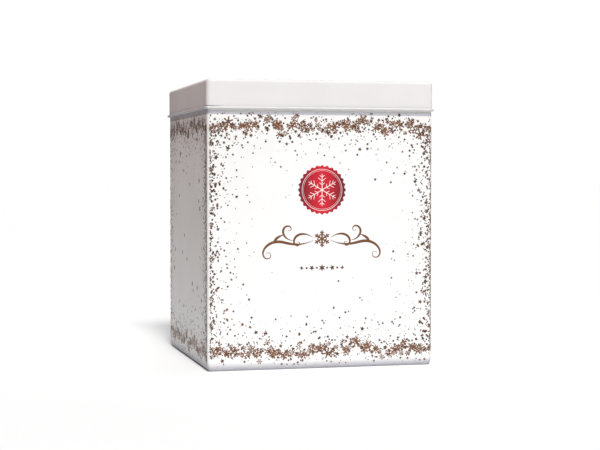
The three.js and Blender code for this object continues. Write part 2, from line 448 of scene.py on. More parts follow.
FLAKE_KINDS = [
    six_fold([[0.44, 0, 1, 0, 0.12, 0.10], *hollow_star(0.30, 0.50, 0.10), *forks(0.62, 0.34, 0.10)]),
    six_fold([[0, 0, 1, 0, 0.11, 0.09], *forks(0.36, 0.30, 0.09), *forks(0.66, 0.28, 0.10)]),
    six_fold([[0, 0, 0.9, 0, 0.10, 0.10], [0.84, 0, 1.0, 0, 0.16, 0.14], *forks(0.48, 0.34, 0.10)]),
    six_fold([[0, 0, 1, 0, 0.15, 0.17]]),
]
SLIVER = np.array([[-0.9, 0, 0.9, 0, 0.28, 0.2]])
ROOF = [[1, 2, 5, 4], [4, 5, 3, 0], [0, 1, 4], [2, 3, 5], [0, 3, 2, 1]]


def unit(vectors):
    """Each vector divided by its length."""
    return vectors / np.linalg.norm(vectors, axis=1, keepdims=True)


def left_of(heading):
    """Flat headings, each turned a quarter to the left."""
    return heading[:, ::-1] * [-1, 1]


def stroke_points(strokes):
    """Six points for each stroke: its four corners, then the two ends of the ridge between them."""
    start, end = strokes[:, 0:2], strokes[:, 2:4]
    heading = unit(end - start)
    beside = left_of(heading)
    wide, narrow = strokes[:, 4:5], strokes[:, 5:6]
    return np.stack([
        start + wide * beside, start - wide * beside, end - narrow * beside, end + narrow * beside,
        start, end + heading * narrow * 0.8,
    ], axis=1)


def flakes(marks, rng, centres, sizes, strokes, tones):
    """Snowflakes built of straight strokes, each a low closed roof with its ridge along the middle."""
    shape = stroke_points(strokes).reshape(-1, 2)
    flat = turned(shape, centres, sizes, rng.uniform(0, math.tau, len(sizes)))
    on_ridge = np.tile([False] * 4 + [True] * 2, len(strokes))
    rise = np.where(on_ridge, rng.uniform(*INK_RISE, len(sizes))[:, None], SUNK)
    marks.take(flat.reshape(-1, 6, 2), rise.reshape(-1, 6), ROOF, np.repeat(tones, len(strokes)))


def garland(side, rng, count, middle, inward, spread, tail):
    """Places along a garland: one in each of count equal steps along the side, close to a line that
    wanders as three sine waves, and trailing off exponentially towards the middle of the side."""
    part = (np.arange(count) + rng.random(count)) / count
    across = PRINT_LEFT + (PRINT_RIGHT[side] - PRINT_LEFT) * part
    phase = np.random.default_rng(int(middle * 10000)).uniform(0, math.tau, 3)
    waves = np.array(WANDER) * np.sin(across[:, None] * WANDER_RATE + phase)
    drift = rng.normal(0, spread, count) + rng.exponential(tail, count) - tail / 2
    return np.column_stack([across, middle + waves.sum(axis=1) + inward * drift])


def columns(side, rng, count, tail, right_share):
    """Places beside the two upright edges: one in each of count equal steps up them, most at the
    edge and fewer with distance from it, with that share of them at the right edge."""
    inward = rng.exponential(tail, count)
    across = np.where(rng.random(count) < right_share, PRINT_RIGHT[side] - inward, PRINT_LEFT + inward)
    part = (np.arange(count) + rng.random(count)) / max(count, 1)
    return np.column_stack([across, GARLAND_BASE + (GARLAND_TOP - GARLAND_BASE) * part])


def scattered(side, rng, low, high, counts, spread, tail, column_tail, right_share=0.5):
    """Sizes and places of one layer of marks, with sizes even from low to high, counts[0] marks in
    each garland and counts[1] in both columns. A mark that would cross the edge of the print moves
    in until it only touches it, and one on the seam's strip at the back moves beside it."""
    in_garland, in_columns = counts
    sizes = rng.uniform(low, high, 2 * in_garland + in_columns)
    places = np.vstack([
        garland(side, rng, in_garland, GARLAND_TOP, -1, spread, tail),
        garland(side, rng, in_garland, GARLAND_BASE, 1, spread, tail),
        columns(side, rng, in_columns, column_tail, right_share),
    ])
    room = 0.8 * sizes
    places[:, 0] = np.clip(places[:, 0], PRINT_LEFT + room, PRINT_RIGHT[side] - room)
    places[:, 1] = np.clip(places[:, 1], PRINT_FLOOR + room, PRINT_CEILING - room)
    if side == BACK:
        from_seam = places[:, 0] - SEAM_MIDDLE
        clear = SEAM_STRIP + sizes
        beside = SEAM_MIDDLE + np.where(from_seam < 0, -1, 1) * clear
        places[:, 0] = np.where(np.abs(from_seam) < clear, beside, places[:, 0])
    return sizes, places


# How each size of mark is scattered, down to dust too fine to show its tips.
LARGE_STARS = dict(low=0.0015, high=0.0023, counts=(52, 66), spread=0.0032, tail=0.0052)
SMALL_STARS = dict(low=0.0009, high=0.0014, counts=(150, 280), spread=0.0032, tail=0.0096)
SPECKS = dict(low=0.0005, high=0.0009, counts=(220, 440), spread=0.0036, tail=0.0100)
DUST = dict(low=0.0003, high=0.0006, counts=(270, 380), spread=0.0040, tail=0.0104)
LARGE_FLAKES = dict(low=0.0027, high=0.0043, spread=0.0018, tail=0.0003, column_tail=0.0020)
SMALL_FLAKES = dict(low=0.0014, high=0.0024, spread=0.0028, tail=0.0012, column_tail=0.0012)
EDGE_SPECKS = dict(low=0.0007, high=0.0012, spread=0.0038, tail=0.0084, right_share=0.86)
SLIVERS = dict(low=0.0007, high=0.0013, counts=(40, 40), spread=0.0044, tail=0.0060, column_tail=0.0060)

# Tips and waist of the stars of each layer, with how they stand in the columns.
STAR_LAYERS = [
    (5, 0.46, dict(LARGE_STARS, column_tail=0.0050, right_share=0.60)),
    (5, 0.60, dict(SMALL_STARS, column_tail=0.0066, right_share=0.62)),
    (6, 0.66, dict(SPECKS, column_tail=0.0062, right_share=0.60)),
    (4, 0.60, dict(DUST, column_tail=0.0086, right_share=0.55)),
]


def middle_stars(side, marks, rng, count, smallest):
    """Single stars over the middle of a side, clear of the label on the front."""
    across = rng.uniform(-MIDDLE_REACH, MIDDLE_REACH, count)
    places = np.column_stack([across, rng.uniform(*MIDDLE_HEIGHTS, count)])
    from_label = np.abs(places - [0, LABEL_HEIGHT]) - LABEL_HALF_SIZE
    away = (from_label.max(axis=1) > 0) | (side != FRONT)
    sizes = rng.exponential(0.0004, count) + smallest
    stars(marks, rng, places[away], sizes[away], 5, 0.5, rng.uniform(0, 0.4, away.sum()))


def print_side(
    side, seed, fullness=1.0, lone_stars=34, lone_size=0.0013, edge_stars=280, edge_tail=0.0011,
):
    """All the marks of one side: flakes, with fullness as the share of their full number, stars,
    slivers, and single stars. The last two amounts are for small stars close to the right edge."""
    rng = np.random.default_rng(seed)
    marks = Marks()
    large = dict(LARGE_FLAKES, counts=(round(30 * fullness), 0))
    small = dict(SMALL_FLAKES, counts=(round(58 * fullness), 24))
    for scatter in (large, small):
        sizes, places = scattered(side, rng, **scatter)
        tones = rng.uniform(0.6, 1.0, len(sizes))
        kind = rng.integers(len(FLAKE_KINDS), size=len(sizes))
        for index, strokes in enumerate(FLAKE_KINDS):
            chosen = kind == index
            flakes(marks, rng, places[chosen], sizes[chosen], strokes, tones[chosen])
    at_edge = dict(EDGE_SPECKS, counts=(0, edge_stars), column_tail=edge_tail)
    for tips, waist, scatter in [*STAR_LAYERS, (6, 0.66, at_edge)]:
        sizes, places = scattered(side, rng, **scatter)
        stars(marks, rng, places, sizes, tips, waist, rng.uniform(0.0, 0.6, len(sizes)))
    sizes, places = scattered(side, rng, **SLIVERS)
    flakes(marks, rng, places, sizes, SLIVER, rng.uniform(0.1, 0.8, len(sizes)))
    middle_stars(side, marks, rng, lone_stars, lone_size)
    return marks


def bronze_ink():
    """Screen-printed bronze ink: brown with darker marks, a little metal in it, and a fine grain."""
    material, place = new_finish("bronze_ink")
    tone = place.add("ShaderNodeAttribute", {"attribute_name": "tone"}, {}, output=2)
    grain = place.noise(900.0, 2.0)
    brown = tone.mix(rgb(44, 32, 25), rgb(132, 83, 48))
    return finished(material, {
        "Base Color": (grain * 0.35).mix(brown, rgb(76, 50, 35)),
        "Roughness": 0.36 + 0.16 * grain,
        "Metallic": 0.15,
    })


def ink_piece(name, side, marks, ink, slot):
    """Lays gathered marks on a side of the tin as one piece, with their tones as an attribute."""
    flat = np.vstack(marks.points)
    points = wall_point(side, flat[:, 0], flat[:, 1], flat[:, 2])
    piece = new_piece(name, points, marks.faces, ink, slot)
    tone = piece.data.attributes.new("tone", "FLOAT", "POINT")
    tone.data.foreach_set("value", np.concatenate(marks.tones))


bronze = bronze_ink()
for side_name, side, amounts in (
    ("front", FRONT, dict(seed=11, lone_stars=60, lone_size=0.0005, edge_stars=520, edge_tail=0.0019)),
    ("right", RIGHT, dict(seed=23)),
    ("back", BACK, dict(seed=37)),
    ("left", LEFT, dict(
        seed=41, fullness=0.75, lone_stars=26, lone_size=0.0021, edge_stars=620, edge_tail=0.0042,
    )),
):
    ink_piece("star_print_" + side_name, side, print_side(side, **amounts), bronze, "bronze_ink")

# ---- Seal ----
# A red scalloped seal printed over the white in the upper middle of the front, with two fine white
# rings and a white snowflake on it. Red goes down first, white is a second, thicker pass.

SEAL_HEIGHT = 0.1355
SEAL_RADIUS = 0.0182
SEAL_LOBES = 28
SEAL_SCALLOP = 0.0006
SEAL_RISE = 0.00006
FLAKE_RISE = 0.00013
RING_RISE = 0.00017
RING_STEPS = 96


def seal_disc():
    """A disc whose edge waves in and out, drawn as rings that shrink to a flat middle. Its edge
    is rounded down onto the lacquer over the last ring, and it is closed underneath."""
    angle = np.linspace(0, math.tau, SEAL_LOBES * 10, endpoint=False)[None, :]
    scale = np.array([[1.0], [0.995], [0.98], [0.9], [0.6], [0.2]])
    rise = np.array([[SUNK], [SEAL_RISE * 0.7], [SEAL_RISE], [SEAL_RISE], [SEAL_RISE], [SEAL_RISE]])
    radius = scale * (SEAL_RADIUS + SEAL_SCALLOP * np.cos(SEAL_LOBES * angle))
    across, height = radius * np.cos(angle), SEAL_HEIGHT + radius * np.sin(angle)
    points = wall_point(FRONT, across, height, np.broadcast_to(rise, radius.shape))
    return points, ring_faces(*radius.shape)


def red_ink():
    """Red ink, brightest in the middle and deep maroon towards both sides, with a faint grain."""
    material, place = new_finish("red_ink")
    from_middle = (abs(place.axis(0)) / SEAL_RADIUS).ease(0.05, 1.0)
    grain = place.noise(700.0, 2.0)
    shade = from_middle.mix(rgb(206, 24, 46), rgb(112, 20, 32))
    return finished(material, {
        "Base Color": (grain * 0.15).mix(shade, rgb(128, 16, 30)),
        "Roughness": 0.30 + 0.12 * grain,
    })


def white_ink():
    """Opaque white ink, very slightly pink where the red shows through."""
    material, place = new_finish("white_ink")
    grain = place.noise(1200.0, 2.0)
    return finished(material, {
        "Base Color": (grain * 0.5).mix(rgb(250, 244, 243), rgb(240, 222, 221)),
        "Roughness": 0.38 + 0.1 * grain,
    })


def roof_along(marks, flat, rise, tone, closed=False):
    """A low roof of ink along a line, three flat points at each station: its left edge, its right
    edge and the ridge between them, which rises. It is closed at both ends, or into a ring."""
    stations = len(flat)
    station = np.arange(stations if closed else stations - 1)[:, None] * 3
    ahead = (station + 3) % (3 * stations)
    faces = np.concatenate([
        np.hstack([station + left, ahead + left, ahead + right, station + right])
        for left, right in ((1, 2), (2, 0), (0, 1))
    ]).tolist()
    if not closed:
        last = 3 * (stations - 1)
        faces += [[0, 1, 2], [last + 1, last, last + 2]]
    rises = np.tile([SUNK, SUNK, rise], stations)
    marks.take(flat.reshape(1, -1, 2), rises, faces, np.full(1, tone))


def ring_of_ink(marks, radius, half_width):
    """A thin ring round the middle of the seal."""
    angle = np.linspace(0, math.tau, RING_STEPS, endpoint=False)[:, None]
    reach = radius + half_width * np.array([[-1.0, 1.0, 0.0]])
    flat = np.stack([reach * np.cos(angle), SEAL_HEIGHT + reach * np.sin(angle)], axis=-1)
    roof_along(marks, flat, RING_RISE, 0.0, closed=True)


new_piece("seal_disc", *seal_disc(), red_ink(), "red_ink")
seal_marks = Marks()
ring_of_ink(seal_marks, SEAL_RADIUS * 0.86, 0.00028)
ring_of_ink(seal_marks, SEAL_RADIUS * 0.80, 0.00014)


def upright_flake(marks, centre, size, strokes, rise, tone):
    """One snowflake with an arm pointing straight up."""
    upright = stroke_points(strokes)[:, :, ::-1] * [-size, size]
    flat = upright + np.array(centre)
    marks.take(flat, [SUNK] * 4 + [rise] * 2, ROOF, np.full(len(strokes), tone))


EMBLEM = six_fold([
    [0, 0, 1, 0, 0.045, 0.032],
    *forks(0.32, 0.20, 0.036),
    *forks(0.56, 0.30, 0.036),
    *forks(0.80, 0.18, 0.036),
])
upright_flake(seal_marks, (0, SEAL_HEIGHT), SEAL_RADIUS * 0.66, EMBLEM, FLAKE_RISE, 0.0)
ink_piece("seal_snowflake", FRONT, seal_marks, white_ink(), "white_lacquer")

# ---- Scroll and star row ----
# A pen flourish in the same bronze ink under the seal, the same on both sides of a small
# snowflake, and a row of small stars and dots under it.

SCROLL_HEIGHT = 0.0985
ROW_HEIGHT = 0.0765
STROKE_RISE = 0.00009
STROKE_THIN = 0.00018
PEN_STEPS = 90
SCROLL_TONE = 0.8
ROW_TONE = 0.35
ROW_STEP = 0.0040


def pen_line(start, turns, heading, length):
    """A line drawn by steering: turns lists (part of the length, curvature per metre), and the
    heading is the curvature added up along the line."""
    travelled = np.linspace(0, length, PEN_STEPS)
    parts, curvatures = zip(*turns)
    curvature = np.interp(travelled / length, parts, curvatures)
    step = travelled[1] - travelled[0]
    angle = heading + np.cumsum(curvature) * step
    line = np.column_stack([np.cumsum(np.cos(angle)), np.cumsum(np.sin(angle))]) * step
    return np.array(start) + line - line[0]


def pen_stroke(marks, line, half_width):
    """Ink along a line whose half-width swells and thins."""
    beside = left_of(unit(np.gradient(line, axis=0))) * half_width[:, None]
    roof_along(marks, np.stack([line + beside, line - beside, line], axis=1), STROKE_RISE, SCROLL_TONE)


def swelling(thick, peak):
    """Half-widths of a stroke, thin at both ends and thick at its peak, where the pen is pressed:
    a quarter of a sine wave to the power 1.5, up and then down."""
    part = np.linspace(0, 1, PEN_STEPS)
    rise = np.where(part < peak, part / peak, (1 - part) / (1 - peak))
    return STROKE_THIN + (thick - STROKE_THIN) * np.sin(rise * math.pi / 2) ** 1.5


def mirrored_stroke(marks, start, turns, heading, length, thick, peak=0.45):
    """The same stroke on both sides of the middle. The left one is drawn backwards, so that its
    faces still point out."""
    line = pen_line(start, turns, heading, length)
    width = swelling(thick, peak)
    centre = np.array([0, SCROLL_HEIGHT])
    pen_stroke(marks, centre + line, width)
    pen_stroke(marks, centre + line[::-1] * [-1, 1], width[::-1])


scroll = Marks()
LONG_TAIL = [(0, 42), (0.34, 30), (0.46, -60), (0.68, -95), (1, -560)]
UPPER_CURL = [(0, -40), (0.4, -120), (0.7, -260), (1, -900)]
LOWER_CURL = [(0, 60), (0.4, 170), (0.75, 330), (1, 900)]
LEAF = [(0, -60), (1, -120)]
mirrored_stroke(scroll, (0.0065, -0.0008), LONG_TAIL, heading=-0.55, length=0.0600, thick=0.00120)
mirrored_stroke(scroll, (0.0070, 0.0010), UPPER_CURL, heading=0.62, length=0.0290, thick=0.00100)
mirrored_stroke(scroll, (0.0225, -0.0012), LOWER_CURL, heading=0.10, length=0.0250, thick=0.00095)
mirrored_stroke(scroll, (0.0290, 0.0034), LEAF, heading=-0.15, length=0.0120, thick=0.00110, peak=0.6)
upright_flake(scroll, (0, SCROLL_HEIGHT), 0.0062, FLAKE_KINDS[1], STROKE_RISE * 1.2, SCROLL_TONE)

row_rng = np.random.default_rng(3)
DOT = (0.0010, 6, 0.9)
ROW_MARKS = ((0.0034, 6, 0.42), DOT, (0.0026, 5, 0.45), DOT, (0.0019, 4, 0.5))
for step, (size, tips, waist) in enumerate(ROW_MARKS):
    ways = [[1, 1], [-1, 1]] if step else [[1, 1]]
    places = np.array([[ROW_STEP * step, ROW_HEIGHT]]) * ways
    count = len(places)
    stars(scroll, row_rng, places, np.full(count, size), tips, waist, np.full(count, ROW_TONE))
ink_piece("scroll_ornament", FRONT, scroll, bronze, "bronze_ink")

# ---- Tin bottom ----
# A square of bright tinplate, stamped with a raised panel and a stiffening bead, dropped in over
# the body's foot and clinched there. It is bare metal with the rolling mill's fine grain.

bottom_low, bottom_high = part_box("tin_bottom")
BOTTOM_MIDDLE = 0.02
BOTTOM_BORDER = 0.006
BOTTOM_BEND = 0.0012
BEAD_AT = 0.064
BEAD_WIDTH = 0.0035
BEAD_DEPTH = 0.0006


def bottom_profile():
    """The underside from near the middle out to the clinched edge, then the upper side back."""
    rim = bottom_high[0]
    bend = rim - BOTTOM_BORDER
    panel = bottom_high[2] - SHEET
    across_bead = np.linspace(-1, 1, 13)
    bead = np.column_stack([
        BEAD_AT + BEAD_WIDTH * across_bead,
        panel - BEAD_DEPTH * np.cos(across_bead * math.pi / 2) ** 2,
    ])
    part = np.linspace(0, 1, 9)
    slope = np.column_stack([
        bend - BOTTOM_BEND + (BOTTOM_BEND + SHEET) * part,
        panel + (bottom_low[2] - panel) * (3 * part**2 - 2 * part**3),
    ])
    flat_border = np.array([bend + BOTTOM_BEND, rim - 2 * SHEET, rim])
    border = np.column_stack([flat_border, np.full(3, bottom_low[2])])
    under = np.vstack([[[BOTTOM_MIDDLE, panel]], bead, slope, border])
    return np.vstack([under, under[::-1] + [0, SHEET]])


def bare_tinplate():
    """Bright tinned steel: fine streaks along the rolling direction in the gloss and the colour,
    and faint clouds where the tin melted and set."""
    material, place = new_finish("bare_tinplate")
    rolled = place.add("ShaderNodeMapping", {}, {"Vector": place, "Scale": (30.0, 1400.0, 400.0)})
    streak = rolled.noise(1.0, 3.0, 0.6)
    cloud = place.noise(45.0, 3.0).ease(0.38, 0.66)
    return finished(material, {
        "Base Color": (streak * 0.5 + cloud * 0.5).mix(rgb(176, 178, 180), rgb(208, 209, 210)),
        "Roughness": 0.24 + 0.16 * streak + 0.08 * cloud,
        "Normal": place.bump(streak, 0.00001, 0.5),
        "Metallic": 1.0,
    })


def pressed(profile, stations, corner_steps):
    """A section carried round the rounded square, with a flat middle above and below."""
    along, bend, side = route(stations, corner_steps)
    distance = np.repeat(profile[:, :1], len(along), axis=1)
    points = carry_round(distance, profile[:, 1:], along, bend, side)
    return points, ring_faces(*points.shape[:2])


tin_base = pressed(bottom_profile(), np.linspace(-1, 1, 9), 8)
new_piece("tin_base", *tin_base, bare_tinplate(), "bare_tinplate", ["tin_bottom"])

# ---- Baking mould ----
# The paper case that the loaf is baked and sold in: a strip of corrugated brown kraft round a
# flat disc, glued to its edge. The outside is printed with rows of small gold diamonds.

mould_low, mould_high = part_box("baking_mould_wall")
MOULD_RADIUS = mould_high[0]
MOULD_PAPER = 0.0005
MOULD_FLUTES = 120
FLUTE_DEPTH = 0.00025
FLOOR_EDGE = 0.0003
DIAMONDS_ROUND = 60
DIAMOND_ROW = 0.0085


def spun(radius, height, angle):
    """Points of a surface round the tin's axis. radius and height are grids of rows by angles."""
    radius, height, angle = np.broadcast_arrays(radius, height, angle)
    return np.stack([radius * np.cos(angle), radius * np.sin(angle), height], axis=-1)


def round_stations(count):
    """Equal angles once round, as one row."""
    return np.linspace(0, math.tau, count, endpoint=False)[None, :]


def mould_wall():
    """Two walls a paper's thickness apart, whose radius waves once for each flute."""
    angle = round_stations(MOULD_FLUTES * 8)
    outer = MOULD_RADIUS - FLUTE_DEPTH
    levels = np.linspace(mould_low[2], mould_high[2], 7)
    radius = np.concatenate([np.full(7, outer), np.full(7, outer - MOULD_PAPER)])[:, None]
    height = np.concatenate([levels, levels[::-1]])[:, None]
    points = spun(radius + FLUTE_DEPTH * np.cos(MOULD_FLUTES * angle), height, angle)
    return points, ring_faces(*points.shape[:2], joined=True)


def mould_paper():
    """Baked kraft paper: brown with long fibres, darker where it has browned towards the top, and
    gold diamonds on the outside in staggered rows."""
    material, place = new_finish("mould_paper")
    fibre = place.add("ShaderNodeMapping", {}, {"Vector": place, "Scale": (260.0, 260.0, 1500.0)})
    grain = fibre.noise(1.0, 4.0, 0.65)
    browned = place.axis(2).ease(0.03, 0.12) * 0.6 + 0.4 * place.noise(60.0, 3.0)
    kraft = (browned * 0.7 + grain * 0.3).mix(rgb(132, 88, 52), rgb(86, 52, 28))
    turn = place.sum("ARCTAN2", place.axis(1), place.axis(0)) * (DIAMONDS_ROUND / math.tau)
    level = place.axis(2) * (1 / DIAMOND_ROW)
    stagger = level.sum("FLOOR", level) * 0.5
    in_cell = abs(level.sum("FRACT", level) - 0.5) + abs(turn.sum("FRACT", turn + stagger) - 0.5)
    diamond = in_cell.ease(0.27, 0.24)
    gold = grain.mix(rgb(196, 150, 72), rgb(160, 116, 50))
    return finished(material, {
        "Base Color": diamond.mix(kraft, gold),
        "Roughness": 0.86 - 0.42 * diamond,
        "Metallic": 0.7 * diamond,
        "Normal": place.bump(grain, 0.00008, 0.6),
    })


def mould_floor():
    """The flat disc, with its edge rounded over both faces."""
    low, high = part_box("baking_mould_base")
    angle = round_stations(180)
    inward_and_up = np.array([[0.060, 0], [FLOOR_EDGE, 0], [0, FLOOR_EDGE]])
    under = [high[0], low[2]] + inward_and_up * [-1, 1]
    profile = np.vstack([under, under[::-1] * [1, -1] + [0, low[2] + high[2]]])
    points = spun(profile[:, :1], profile[:, 1:], angle)
    return points, ring_faces(*points.shape[:2])


kraft = mould_paper()
new_piece("mould_wall", *mould_wall(), kraft, "mould_paper", ["baking_mould_wall"])
new_piece("mould_floor", *mould_floor(), kraft, "mould_paper", ["baking_mould_base"])

# ---- Panettone ----
# A sweet yeast loaf that rises straight up in its mould and domes over it. The crown is scored
# with a cross before baking, which tears open and stays paler, and raisins show in the crust.

loaf_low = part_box("panettone")[0]
MOULD_TOP = mould_high[2]
LOAF_RADIUS = MOULD_RADIUS - 2 * FLUTE_DEPTH - MOULD_PAPER - 0.0003
SHOULDER = MOULD_TOP + 0.004
CROWN_RADIUS = 0.0799
CROWN_TOP = 0.16805
CUT_DEPTH = 0.0075
CUT_WIDTH = 0.0062
LUMP = 0.0011
COARSE_LUMPS = 0.011
FINE_LUMPS = 0.0035
FOOT_BEND = 0.004
LOAF_STATIONS = 260
RAISINS = 46
RAISIN_ROWS = 9
RAISIN_COLUMNS = 12
RAISIN_SUNK = 0.0016


def lumps(points, seed, finest):
    """Uneven dough from -1 to 1: the mean of plane waves in random directions, whose lengths run
    down to finest metres."""
    rng = np.random.default_rng(seed)
    direction = unit(rng.normal(size=(40, 3)))
    direction *= math.tau / (finest * rng.uniform(1.0, 5.0, (40, 1)))
    waves = np.cos(points @ direction.T + rng.uniform(0, math.tau, 40))
    return np.clip(waves.mean(axis=-1) * 4, -1, 1)


def cross_cut(x, y, height):
    """How deep the torn cross is at a point of the crown, 0 to 1: a bell-shaped groove along each
    axis, rough-sided and fading out down the crown's shoulder."""
    along_y = np.abs(x + 0.0010 * np.sin(y * 190))
    along_x = np.abs(y + 0.0011 * np.sin(x * 170 + 1))
    across = np.minimum(along_y, along_x)
    fade = np.clip((height - SHOULDER - 0.022) / 0.020, 0, 1)
    return fade * fade * (3 - 2 * fade) * np.exp(-((across / CUT_WIDTH) ** 2))


def loaf():
    """A profile from the middle of the base, up the straight side and over the crown, spun round
    and pushed inwards by lumps and by the cross cut."""
    angle = round_stations(LOAF_STATIONS)
    floor = loaf_low[2]
    base = np.column_stack([np.linspace(0.002, LOAF_RADIUS - 0.005, 6), np.full(6, floor)])
    foot = arc((LOAF_RADIUS - FOOT_BEND, floor + FOOT_BEND), (FOOT_BEND, FOOT_BEND), -90, 0, 6)
    side_heights = np.linspace(floor + 0.006, MOULD_TOP - 0.001, 20)
    side = np.column_stack([np.full(20, LOAF_RADIUS), side_heights])
    crown = arc((0, SHOULDER), (CROWN_RADIUS, CROWN_TOP - SHOULDER), 0, 89.3, 90)
    profile = np.vstack([base, foot, side, crown])
    smooth = spun(profile[:, :1], profile[:, 1:], angle)
    baked = np.clip((profile[:, 1:] - MOULD_TOP) / 0.004, 0, 1)
    uneven = 0.35 * lumps(smooth, 7, COARSE_LUMPS) + 0.15 * lumps(smooth, 8, FINE_LUMPS)
    push = LUMP * baked * (0.5 + uneven)
    shrink = 1 - push / np.maximum(profile[:, :1], 0.02) * (profile[:, :1] / CROWN_RADIUS)
    x, y, height = smooth[..., 0], smooth[..., 1], smooth[..., 2]
    torn_height = height - push - CUT_DEPTH * cross_cut(x, y, height)
    points = np.stack([x * shrink, y * shrink, torn_height], axis=-1)
    return points, ring_faces(*points.shape[:2])


def crust():
    """Egg-washed crust: dark and a little glossy on the crown, paler on the side that the mould
    covered, mottled and finely cracked, with open yellow crumb down in the cross."""
    material, place = new_finish("crust")
    x, y, height = place.axis(0), place.axis(1), place.axis(2)
    across = place.sum("MINIMUM", abs(x), abs(y)) + 0.004 * place.noise(160.0, 3.0)
    torn = across.ease(0.0068, 0.0034) * height.ease(SHOULDER + 0.026, SHOULDER + 0.040)
    mottle = place.noise(38.0, 4.0, 0.6).ease(0.32, 0.70)
    blister = place.noise(420.0, 3.0)
    on_top = height.ease(MOULD_TOP - 0.004, SHOULDER + 0.020)
    side_colour = mottle.mix(rgb(186, 122, 62), rgb(156, 92, 40))
    top_colour = (mottle * 0.75 + blister * 0.25).mix(rgb(150, 82, 32), rgb(78, 36, 14))
    crumb = blister.mix(rgb(232, 186, 104), rgb(208, 148, 72))
    cells = {"feature": "DISTANCE_TO_EDGE"}
    crack = place.add("ShaderNodeTexVoronoi", cells, {"Vector": place, "Scale": 130.0})
    return finished(material, {
        "Base Color": torn.mix(on_top.mix(side_colour, top_colour), crumb),
        "Roughness": 0.78 - 0.30 * on_top * (1 - torn),
        "Normal": place.bump(blister * 0.6 + crack.ease(0.0, 0.06) * 0.4, 0.0006, 0.7),
    })


def raisins():
    """Wrinkled raisins pressed into the crown: small flattened balls with a creased surface, set
    on the dome with a little more than half of each below the crust."""
    rng = np.random.default_rng(19)
    tilt = np.radians(rng.uniform(6, 66, RAISINS))
    round_angle = rng.uniform(0, math.tau, RAISINS)
    level = np.sin(tilt)
    up = np.stack([level * np.cos(round_angle), level * np.sin(round_angle), np.cos(tilt)], axis=-1)
    rise = CROWN_TOP - SHOULDER
    seat = up * [CROWN_RADIUS, CROWN_RADIUS, rise] + [0, 0, SHOULDER]
    seat[:, 2] -= CUT_DEPTH * cross_cut(seat[:, 0], seat[:, 1], seat[:, 2])
    latitude = np.radians(np.linspace(-80, 80, RAISIN_ROWS))[:, None]
    longitude = round_stations(RAISIN_COLUMNS)
    ball = spun(np.cos(latitude), np.sin(latitude) * 0.6, longitude)
    size = rng.uniform(0.0030, 0.0044, RAISINS)[:, None, None, None]
    dent = np.cos(2 * longitude) * 0.10 + np.cos(3 * longitude + 4 * latitude) * 0.05
    creased = ball[None] * (1 + dent[None, :, :, None])
    aside = unit(np.cross(up, [0.3, 0.2, 1.0]))
    axes = np.stack([aside, np.cross(up, aside), up], axis=1)
    sunk = seat - up * RAISIN_SUNK
    points = np.einsum("nrci,nij->nrcj", creased * size, axes) + sunk[:, None, None]
    one = ring_faces(RAISIN_ROWS, RAISIN_COLUMNS)
    return points, repeated(one, RAISIN_ROWS * RAISIN_COLUMNS, RAISINS)


def raisin_skin():
    """Dark, wrinkled, slightly sticky skin."""
    material, place = new_finish("raisin_skin")
    wrinkle = place.noise(900.0, 3.0)
    return finished(material, {
        "Base Color": wrinkle.mix(rgb(66, 32, 20), rgb(104, 56, 34)),
        "Roughness": 0.5 + 0.2 * wrinkle,
        "Normal": place.bump(wrinkle, 0.0003, 0.8),
    })


new_piece("loaf", *loaf(), crust(), "crust", ["panettone"])
new_piece("raisins", *raisins(), raisin_skin(), "crust")

# ---- Film bag ----
# A bag of clear film round the loaf in its mould. It is gathered over the crown into pleats,
# closed at the neck, and its mouth fans out above the tie.

bag_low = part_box("film_bag")[0]
FILM = 0.00015
BAG_EASE = 0.00055
BAG_DOME = 0.0571
NECK = 0.184
NECK_RADIUS = 0.0045
NECK_SLOPE = 0.0085
NECK_FLARE = 0.0042
MOUTH_RISE = 0.0218
MOUTH_FLARE = 0.011
FOLDS_IN_NECK = 13
PLEATS = 26
DOME_FOLD = 0.0011
NECK_FOLD = 0.00035
MOUTH_FOLD = 0.0028
MOUTH_WAVE = 0.0008
RIPPLE = 0.00012


def bag_section(offset):
    """The bag's profile up from the middle of its floor, moved inwards by offset. The neck flares
    down into the dome and up to the mouth with the square of the height from the tie."""
    radius = MOULD_RADIUS + BAG_EASE - offset
    floor = bag_low[2] + offset
    neck = NECK_RADIUS - FOLDS_IN_NECK * offset
    below = np.linspace(1, 0, 6)[:-1, None]
    above = np.linspace(0, 1, 9)[:, None]
    return np.vstack([
        [[0.004, floor], [0.04, floor], [radius - 0.0006, floor], [radius, floor + 0.0006]],
        np.column_stack([np.full(8, radius), np.linspace(floor + 0.012, SHOULDER, 8)]),
        arc((0, SHOULDER), (radius, BAG_DOME - offset), 3, 80, 34),
        np.hstack([neck + NECK_FLARE * below**2, NECK - NECK_SLOPE * below]),
        np.hstack([neck + MOUTH_FLARE * above**2, NECK + MOUTH_RISE * above]),
    ])


